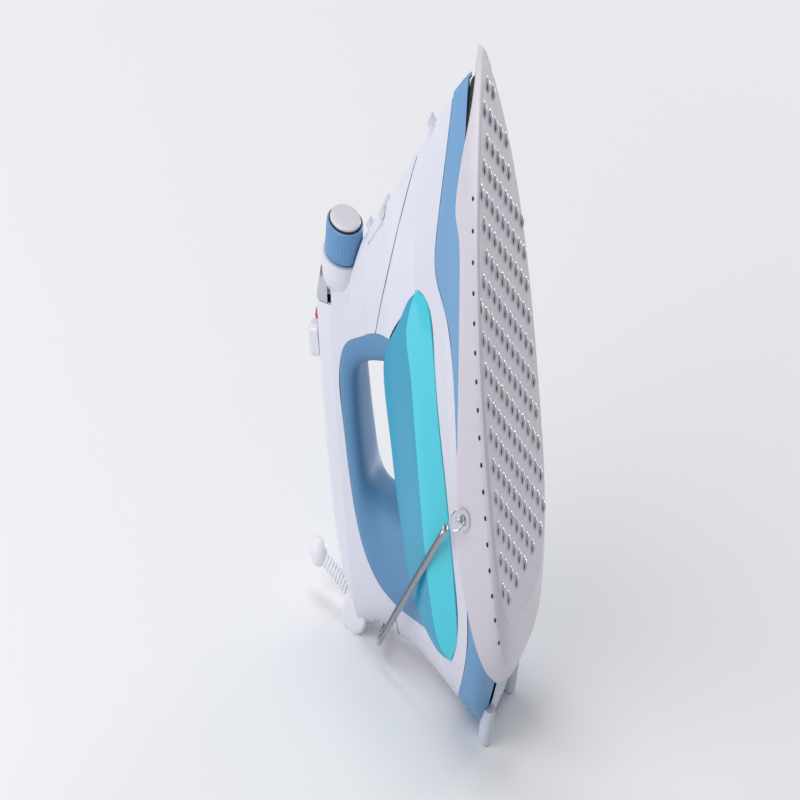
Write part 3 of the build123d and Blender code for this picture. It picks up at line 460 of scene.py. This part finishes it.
class IRON_OT_shoe(bpy.types.Operator):
    """The ironing shoe: a wall with a wavy rim, and a sole raised in half-domes"""

    bl_idname = "iron.shoe"
    bl_label = "Draw the shoe"

    def execute(self, context):
        sizes = context.scene.iron_proportions
        around = np.arange(520)[:, None] / 520
        rim = height_of(RIM_EDGE)
        loop = [(0, 0.35, 3.2), (0, 0.06, 1.6), (0, 0.02, 0.8)]
        loop += [(s, 0, 0) for s in np.linspace(0, 1, 30)[:-1] ** 1.6]
        loop += [(1, 0.7 * math.sin(t) - 0.7, 0.9 - 0.9 * math.cos(t))
                 for t in np.linspace(0, 3.14, 7)]
        loop += [(0.5, 0, 1.8), (0, 2.2, 2.4)]
        share, shift, inset = np.array(loop).T
        z = np.full((len(around), len(loop)), 10.0)
        for _ in range(24):
            x, y = outline(SHOE_ROWS, around, np.maximum(z, 0))
            z = 0.5 * z + 0.5 * (share * rim(x) + shift)
        x, y = outline(SHOE_ROWS, around, np.maximum(z, 0))
        wall = np.stack([*drawn_in(x, y, inset, around), z], -1)
        grid_piece("shoe_wall", wall, LOOKS["pearl_plastic"], "iron",
                   wrap=(True, True), nodes=["shoe_shell"], sharp=60)

        tail, nose, half, blunt = section(SHOE_ROWS, 0)
        u = np.linspace(0, 1, 430)
        v = np.linspace(-1, 1, 190)[None, :]
        along = (tail + 1.7) + u * (nose - tail - 3.6)
        span = np.interp(along, *edge_of_sole())
        px = np.repeat(along[:, None], v.shape[1], 1)
        py = span[:, None] * v
        rise = np.zeros_like(px)
        for cx, cy in dimple_places():
            near = np.abs(along - cx) < 6
            dx, dy = px[near] - cx, py[near] - cy
            # a teardrop half-dome: full and steep on the right, drawn out thin to the front
            long = dx / (sizes.dimple_length * np.where(dx > 0, 0.62, 0.42))
            wide = dy / (sizes.dimple_width * np.where(dy > 0, 0.62, 0.16))
            dome = np.clip(1 - long**2 - wide**2, 0, 1) ** 0.75
            rise[near] = np.maximum(rise[near], sizes.dimple_height * dome)
        face = np.stack([px, py, -rise], -1)
        back = np.stack([px, py * 0.99, np.full_like(px, 1.2)], -1)[:, ::-1]
        grid_piece("shoe_sole", np.concatenate([face, back], 1), LOOKS["pearl_plastic"], "iron",
                   wrap=(False, True), sharp=70)
        return {"FINISHED"}


def edge_of_sole():
    """x and half width of the sole's flat, just inside its rolled edge."""
    around = np.linspace(0, 0.5, 400)
    x, y = outline(SHOE_ROWS, around, 0.0)
    return x, np.maximum(abs(y) - 1.5, 0.05)


class IRON_OT_holes(bpy.types.Operator):
    """Painted shade: dark flattened blobs at the mouths of the steam dimples and of the rim holes,
    standing for their unlit insides
    """

    bl_idname = "iron.holes"
    bl_label = "Draw the steam holes"

    def execute(self, context):
        # a thin dark blob on the near side of each dimple: painted shade for its slit
        mouths = [(x, y - 0.95, -0.3, 1.6, 0.36, 0.3) for x, y in dimple_places()]
        turn = np.linspace(0, 2 * math.pi, 10, endpoint=False)[None, :]
        tilt = np.linspace(-math.pi / 2, math.pi / 2, 5)[:, None]
        ball = np.stack([np.cos(tilt) * np.cos(turn), np.cos(tilt) * np.sin(turn),
                         np.sin(tilt) * np.ones_like(turn)], -1)
        for kind, places in (("sole", mouths), ("rim", rim_mouths())):
            vertices, faces = [], []
            rows, columns = ball.shape[:2]
            for x, y, z, *size in places:
                start = len(vertices)
                vertices += to_row(ball.reshape(-1, 3) * size + (x, y, z)).tolist()
                for r in range(rows - 1):
                    for c in range(columns):
                        d = (c + 1) % columns
                        faces.append([start + r * columns + c, start + r * columns + d,
                                      start + (r + 1) * columns + d, start + (r + 1) * columns + c])
            mesh = bpy.data.meshes.new(f"{kind}_holes")
            mesh.from_pydata(vertices, [], faces)
            mesh.shade_smooth()
            mesh.materials.append(LOOKS["slit_dark"])
            piece = bpy.data.objects.new(f"{kind}_holes", mesh)
            bpy.context.scene.collection.objects.link(piece)
            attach(piece, "iron")
        return {"FINISHED"}


def rim_mouths():
    """Places and sizes of small round holes low on the shoe's wall, each drawn as a dark blob of
    painted shade.
    """
    found = []
    edge_x, edge_y = outline(SHOE_ROWS, np.linspace(0, 0.5, 600), 4.5)
    order = np.argsort(edge_x)
    for x, side in RIM_HOLES:
        y = np.interp(x, edge_x[order], abs(edge_y[order]))
        found.append((x, side * y, 4.6, 1.25, 0.45, 0.95))
    return found


class IRON_OT_spring(bpy.types.Operator):
    """The shoe's spring: wire coiled close along a path round the heel, with a black rod inside it as
    painted shade for the coil's dark inside
    """

    bl_idname = "iron.spring"
    bl_label = "Draw the spring"

    def execute(self, context):
        sizes = context.scene.iron_proportions
        corners = np.array([(-180.5, -59.5, 36.4), (-250, -25, 117), (-250, 25, 117),
                            (-180.5, 59.5, 36.4)])
        path = rounded(corners, 12.0, 3000)
        run = np.r_[0, np.cumsum(np.linalg.norm(np.diff(path, axis=0), axis=1))]
        turns = run[-1] / sizes.coil_pitch
        even = np.linspace(0, run[-1], int(turns * 14))
        centre = np.stack([np.interp(even, run, path[:, k]) for k in range(3)], 1)
        way = np.gradient(centre, axis=0)
        way /= np.linalg.norm(way, axis=1)[:, None]
        side = np.cross(way, (0.25, 0.4, 0.88))
        side /= np.linalg.norm(side, axis=1)[:, None]
        turn = 2 * math.pi * even[:, None] / sizes.coil_pitch
        radius = (4.4 - sizes.coil_wire) / 2
        coil = centre + radius * (np.cos(turn) * side + np.sin(turn) * np.cross(way, side))
        grid_piece("shoe_spring_coil", tube(coil, sizes.coil_wire / 2, 6), LOOKS["spring_steel"],
                   "iron", nodes=["shoe_spring"], wrap=(False, True))
        # a black rod inside the coil: painted shade for the coil's unlit inside
        grid_piece("shoe_spring_shade_core", tube(path[40:-40:12], 1.15, 12),
                   LOOKS["black_phenolic"], "iron", wrap=(False, True))
        return {"FINISHED"}


def rounded(corners, radius, count):
    """A path through corners, each rounded by a quadratic bend that starts radius away."""
    parts = [corners[:1]]
    for before, at, after in zip(corners[:-2], corners[1:-1], corners[2:]):
        a = at + radius * (before - at) / np.linalg.norm(before - at)
        b = at + radius * (after - at) / np.linalg.norm(after - at)
        t = np.linspace(0, 1, 40)[:, None]
        parts.append((1 - t) ** 2 * a + 2 * t * (1 - t) * at + t**2 * b)
    parts.append(corners[-1:])
    path = np.vstack(parts)
    run = np.r_[0, np.cumsum(np.linalg.norm(np.diff(path, axis=0), axis=1))]
    even = np.linspace(0, run[-1], count)
    return np.stack([np.interp(even, run, path[:, k]) for k in range(3)], 1)


class IRON_OT_skirt(bpy.types.Operator):
    """The blue skirt: a band round the body whose upper edge waves"""

    bl_idname = "iron.skirt"
    bl_label = "Draw the skirt"

    def execute(self, context):
        foot, edge = height_of(SKIRT_FOOT), height_of(SKIRT_EDGE)
        skirt = band(BODY_ROWS, foot, lambda x: edge(x) - 0.25, 420, 16, 2.2, 0.6)
        grid_piece("skirt_band", skirt, LOOKS["blue_plastic"], "iron",
                   nodes=["skirt"], wrap=(True, True))
        return {"FINISHED"}


class IRON_OT_tank(bpy.types.Operator):
    """The cyan water tank: a lens-shaped window on each side, creased along a ridge; the facet above
    the ridge takes a darker cyan as painted shade
    """

    bl_idname = "iron.tank"
    bl_label = "Draw the water tank"

    def execute(self, context):
        count = 160
        top, bottom, ridge = (curve(c, count) for c in (TANK_TOP, TANK_BOTTOM, TANK_RIDGE))
        share = np.r_[0, 0.012, 0.03, np.linspace(0.06, 1, 12)]
        low = bottom[:, None] + share[None, :, None] * (ridge - bottom)[:, None]
        high = top[:, None] + share[None, ::-1, None] * (ridge - top)[:, None]
        side = np.concatenate([low, high[:, 1:]], 1)
        x, z = side[..., 0], side[..., 1]
        across = np.r_[share, 2 - share[::-1][1:]]
        swell = np.sin(np.linspace(0, math.pi, count))[:, None] ** 0.4
        edge = np.minimum(np.minimum(across, 2 - across) / 0.03, 1) ** 0.5
        crease = 1 - abs(across - 1)
        depth = envelope(x, z) - 1.2 + (1.9 + 1.5 * crease * swell) * edge
        right = np.stack([x, -depth, z], -1)
        left = np.stack([x, depth, z], -1)[:, ::-1]
        loop = np.concatenate([right, left], 1)
        tank = grid_piece("water_tank_window", loop, LOOKS["tank_plastic"], "iron",
                          nodes=["water_tank"], wrap=(False, True), sharp=8)
        # faces above the ridge take the darker cyan: painted shade on the upper facet
        tank.data.materials.append(LOOKS["tank_deep"])
        for face in tank.data.polygons:
            place = to_sole(np.array(face.center))
            above = place[2] - np.interp(place[0], ridge[:, 0], ridge[:, 1])
            face.material_index = int(above > 0.1)
        return {"FINISHED"}


class IRON_OT_grip(bpy.types.Operator):
    """The soft-touch grip: a rounded collar carried round the finger gap"""

    bl_idname = "iron.grip"
    bl_label = "Draw the grip"

    def execute(self, context):
        count = 200
        edge, gap = curve(GRIP_EDGE, count), curve(GRIP_GAP, count)
        turn = np.linspace(0, math.pi / 2, 26)
        power = 3.0
        share = np.sin(turn) ** (2 / power)
        depth = np.cos(turn) ** (2 / power)
        point = edge[:, None] + share[None, :, None] * (gap - edge)[:, None]
        x, z = point[..., 0], point[..., 1]
        reach = (envelope(x, z) + 0.55) * depth[None]
        rolled = np.where(share[None] < 0.02, 0.8, 0)
        right = np.stack([x, -reach + rolled, z], -1)
        left = np.stack([x, reach - rolled, z], -1)[:, ::-1]
        loop = np.concatenate([right, left[:, 1:]], 1)
        ends = [np.repeat(loop[k].mean(0)[None], loop.shape[1], 0)[None] for k in (0, -1)]
        grid_piece("soft_grip_collar", np.concatenate([ends[0], loop, ends[1]]),
                   LOOKS["soft_grip"], "iron", nodes=["grip"], wrap=(False, True))
        return {"FINISHED"}


DIAL_BASE, DIAL_DROP = (-84.0, 0.0, 126.5), math.radians(16)
DIAL_AXIS = (math.cos(DIAL_DROP), 0, -math.sin(DIAL_DROP))


class IRON_OT_dial(bpy.types.Operator):
    """The temperature dial: a fluted blue barrel with a pale cap in a dark rim"""

    bl_idname = "iron.dial"
    bl_label = "Draw the dial"

    def execute(self, context):
        sizes = context.scene.iron_proportions
        barrel = [(0.5, 0), (0.5, 13.0), (0.9, 13.8), (1.6, 14.0, 1), (6, 14.0, 1), (12, 14.0, 1),
                  (13.4, 13.9, 1), (14.2, 13.6), (14.5, 13.2), (14.5, 12.4), (13.9, 12.2), (13.9, 0)]
        grid_piece("dial_barrel", turned(barrel, DIAL_BASE, DIAL_AXIS, 288, sizes.flutes, 0.22),
                   LOOKS["dial_plastic"], "dial", nodes=["dial"],
                   wrap=(False, True))
        rim = [(13.8, 0), (13.8, 12.35), (15.1, 12.35), (15.3, 12.1), (15.3, 0)]
        grid_piece("dial_rim", turned(rim, DIAL_BASE, DIAL_AXIS, 96), LOOKS["black_phenolic"],
                   "dial", wrap=(False, True))
        cap = [(14, 0), (14, 11.6), (15.6, 11.6), (16.1, 11.3), (16.4, 10.6), (16.7, 7), (16.8, 0)]
        grid_piece("dial_face", turned(cap, DIAL_BASE, DIAL_AXIS, 96), LOOKS["cap_plastic"],
                   "dial", nodes=["dial_cap"], wrap=(False, True))
        return {"FINISHED"}


class IRON_OT_lens(bpy.types.Operator):
    """The red indicator lens: a shallow oval dome across the handle"""

    bl_idname = "iron.lens"
    bl_label = "Draw the indicator lens"

    def execute(self, context):
        rise = np.linspace(-math.pi / 2, math.pi / 2, 14)[:, None]
        turn = np.linspace(0, 2 * math.pi, 40, endpoint=False)[None, :]
        ball = np.stack([2.7 * np.cos(rise) * np.cos(turn), 7.6 * np.cos(rise) * np.sin(turn),
                         2.6 * np.sin(rise) * np.ones_like(turn)], -1)
        grid_piece("indicator_dome", ball + (-109.0, 0, 149.4), LOOKS["red_lens"], "iron",
                   nodes=["indicator_lens"], wrap=(False, True))
        return {"FINISHED"}


class IRON_OT_housing(bpy.types.Operator):
    """The handle's front: a white housing that fairs the handle into the dial's round seat"""

    bl_idname = "iron.housing"
    bl_label = "Draw the dial housing"

    def execute(self, context):
        axis = np.array(DIAL_AXIS)
        seat = np.array(DIAL_BASE) - 0.3 * axis
        turn = np.linspace(0, 2 * math.pi, 120, endpoint=False)
        rings = []
        for along, radius, squarer in ((0.0, 0.0, 0), (0.0, 13.2, 0), (-0.1, 14.6, 0),
                                       (-0.6, 15.2, 0), (-2.5, 15.5, 0), (-5, 15.3, 0.2),
                                       (-9, 14.4, 0.4), (-13, 12, 0.6), (-16, 8, 0.6),
                                       (-16, 0, 0.6)):
            power = 2 / (2 + 1.2 * squarer)
            wide = np.sign(np.cos(turn)) * abs(np.cos(turn)) ** power
            tall = np.sign(np.sin(turn)) * abs(np.sin(turn)) ** power
            up = np.cross(axis, (0, 1, 0))
            tall_size = radius * (1 - 0.08 * squarer)
            rings.append(seat + along * axis + radius * wide[:, None] * np.array((0, 1.0, 0))
                         - tall_size * tall[:, None] * up)
        grid_piece("dial_housing", np.array(rings), LOOKS["white_plastic"], "iron",
                   wrap=(False, True))
        return {"FINISHED"}


SEAMS = {
    "parting_front": [(-111, 97.5), (-95, 89.5), (-78, 80), (-60, 70), (-45, 61.5), (-41, 59)],
    "parting_rear": [(-233, 99.6), (-240, 100.6), (-249, 102)],
    "skirt_dash": [(-279, 42), (-283, 38)],
}


class IRON_OT_seams(bpy.types.Operator):
    """Thin dark lines where the white mouldings meet, laid on both sides of the body"""

    bl_idname = "iron.seams"
    bl_label = "Draw the seams"

    def execute(self, context):
        for name, points in SEAMS.items():
            c = curve(points, 90)
            depth = envelope(c[:, 0], c[:, 1])
            inside = depth > 2
            for side, label in ((-1, "right"), (1, "left")):
                path = np.stack([c[:, 0], side * (depth - 0.02), c[:, 1]], 1)[inside]
                width = 0.22 if "dash" not in name else 0.5
                grid_piece(f"{name}_{label}", tube(path, width, 8), LOOKS["seam_dark"], "iron",
                           wrap=(False, True))
        return {"FINISHED"}


class IRON_OT_guard(bpy.types.Operator):
    """The ribbed cord guard, ending in a rounded bead"""

    bl_idname = "iron.guard"
    bl_label = "Draw the cord guard"

    def execute(self, context):
        sizes = context.scene.iron_proportions
        lean = math.radians(53)
        way = np.array((math.cos(lean), 0, math.sin(lean)))
        start = np.array((-239.5, 0, 138.0))
        along = np.linspace(0, 44, 420)
        share = np.clip((along - 7) / 30, 0, 1)
        wave = 0.5 - 0.5 * np.cos(2 * math.pi * sizes.ribs * share)
        ribbed = (along > 7) & (along < 37)
        radius = np.interp(along, [0, 5, 7, 37, 44], [4.9, 4.7, 4.3, 3.7, 3.6])
        radius = radius - np.where(ribbed, 0.75 * wave, 0)
        bead = np.sqrt(np.maximum(7.0**2 - (along - 37.6) ** 2, 0)) * 0.92
        radius = np.maximum(radius, bead)
        radius[-1] = min(radius[-1], 2.6)
        grid_piece("cord_guard_ribs", tube(start + along[:, None] * way, radius, 40),
                   LOOKS["pale_rubber"], "cord_guard", nodes=["cord_guard"],
                   wrap=(False, True), sharp=60)
        return {"FINISHED"}


NODE_LOOKS = {
    "shoe_eyelets": "chrome", "split_rings": "chrome", "steam_button": "button_chrome",
    "spray_button": "button_chrome", "slider_knob": "white_plastic", "indicator_lens": "red_lens",
    "heel_base": "pale_plastic", "heat_shield": "black_phenolic", "cord_gland": "pale_rubber",
}


class IRON_OT_finishes(bpy.types.Operator):
    """Gives every CAD node its material, by the slot that the record names"""

    bl_idname = "iron.finishes"
    bl_label = "Finish the CAD nodes"

    def execute(self, context):
        slots = {part["node"]: part["material_slot"] for part in frame["record"]["subparts"]}
        for name, node in frame["nodes"].items():
            key = NODE_LOOKS.get(name) or slots.get(name)
            if key not in LOOKS:
                raise RuntimeError(f"no finish for {name}: {key}")
            node.data.materials.clear()
            node.data.materials.append(LOOKS[key])
        return {"FINISHED"}


class IRON_OT_stage(bpy.types.Operator):
    """Floor, light and camera"""

    bl_idname = "iron.stage"
    bl_label = "Set the stage"

    def execute(self, context):
        settings = context.scene.iron_stage
        mesh = bpy.data.meshes.new("floor")
        mesh.from_pydata([(-12, -12, 0), (12, -12, 0), (12, 12, 0), (-12, 12, 0)], [], [(0, 1, 2, 3)])
        mesh.materials.append(finish_of("Matt white studio floor", "#F7F7F8", 0.8, grain=300.0,
                                        shade="#F4F4F6", patch=2.0))
        floor = bpy.data.objects.new("floor", mesh)
        context.scene.collection.objects.link(floor)
        middle = Vector(to_row((-148.9, 0, 90.6)))
        right = Vector((0.9173, 0.3374, 0.2119))
        up = Vector((-0.3412, 0.3907, 0.8550))
        sight = -right.cross(up).normalized()
        for name, place, size, power in (
                ("key", (-1.1, -1.7, 1.3), 1.5, settings.key_power),
                ("top", (-1.0, 0.5, 2.2), 1.6, settings.key_power * 0.75),
                ("glance", (0.65, 1.9, 0.22), 0.4, settings.key_power * 0.55)):
            lamp = bpy.data.lights.new(name, "AREA")
            lamp.size, lamp.energy = size, power
            light = bpy.data.objects.new(name, lamp)
            light.location = place
            light.rotation_euler = (middle - Vector(place)).to_track_quat("-Z", "Y").to_euler()
            context.scene.collection.objects.link(light)
        world = bpy.data.worlds.new("studio")
        world.use_nodes = True
        world.node_tree.nodes["Background"].inputs["Color"].default_value = linear("#F4F6FA")
        world.node_tree.nodes["Background"].inputs["Strength"].default_value = settings.fill
        context.scene.world = world
        context.scene.view_settings.view_transform = "Standard"     # plain product-photo contrast
        lens = bpy.data.cameras.new("camera")
        lens.sensor_width = 36
        lens.lens = 36 * settings.distance / settings.width
        lens.clip_end = 50
        camera = bpy.data.objects.new("camera", lens)
        mount = bpy.data.objects.new("camera_mount", None)
        context.scene.collection.objects.link(camera)
        context.scene.collection.objects.link(mount)
        lean = math.acos(1 / settings.squeeze)
        tall = math.cos(lean) * up + math.sin(lean) * sight
        wanted = Matrix.Identity(4)
        place = middle - settings.distance * sight
        for column, vector in enumerate((right, tall, -sight, place)):
            for axis in range(3):
                wanted[axis][column] = vector[axis]
        camera.parent = mount
        camera.matrix_parent_inverse = wanted @ camera.matrix_basis.inverted()
        context.scene.camera = camera
        return {"FINISHED"}


class IRON_PT_sidebar(bpy.types.Panel):
    """Sizes and stage of the iron"""

    bl_idname = "IRON_PT_sidebar"
    bl_label = "Steam iron"
    bl_space_type = "VIEW_3D"
    bl_region_type = "UI"
    bl_category = "Iron"

    def draw(self, context):
        for group in (context.scene.iron_proportions, context.scene.iron_stage):
            box = self.layout.box()
            for key in group.bl_rna.properties.keys():
                if key not in ("rna_type", "name"):
                    box.prop(group, key)
        for operator in OPERATORS:
            self.layout.operator(operator.bl_idname)


OPERATORS = (IRON_OT_finishes, IRON_OT_shoe, IRON_OT_holes, IRON_OT_spring, IRON_OT_skirt,
             IRON_OT_tank, IRON_OT_grip, IRON_OT_dial, IRON_OT_lens, IRON_OT_housing, IRON_OT_seams,
             IRON_OT_guard, IRON_OT_stage)
CLASSES = (IRON_PG_proportions, IRON_PG_stage, *OPERATORS, IRON_PT_sidebar)


def register():
    for item in CLASSES:
        bpy.utils.register_class(item)
    bpy.types.Scene.iron_proportions = PointerProperty(type=IRON_PG_proportions)
    bpy.types.Scene.iron_stage = PointerProperty(type=IRON_PG_stage)


def unregister():
    del bpy.types.Scene.iron_proportions
    del bpy.types.Scene.iron_stage
    for item in reversed(CLASSES):
        bpy.utils.unregister_class(item)


def main():
    register()
    LOOKS.update(make_finishes())
    for operator in OPERATORS:
        group, name = operator.bl_idname.split(".")
        getattr(getattr(bpy.ops, group), name)()


if __name__ == "__main__":
    main()
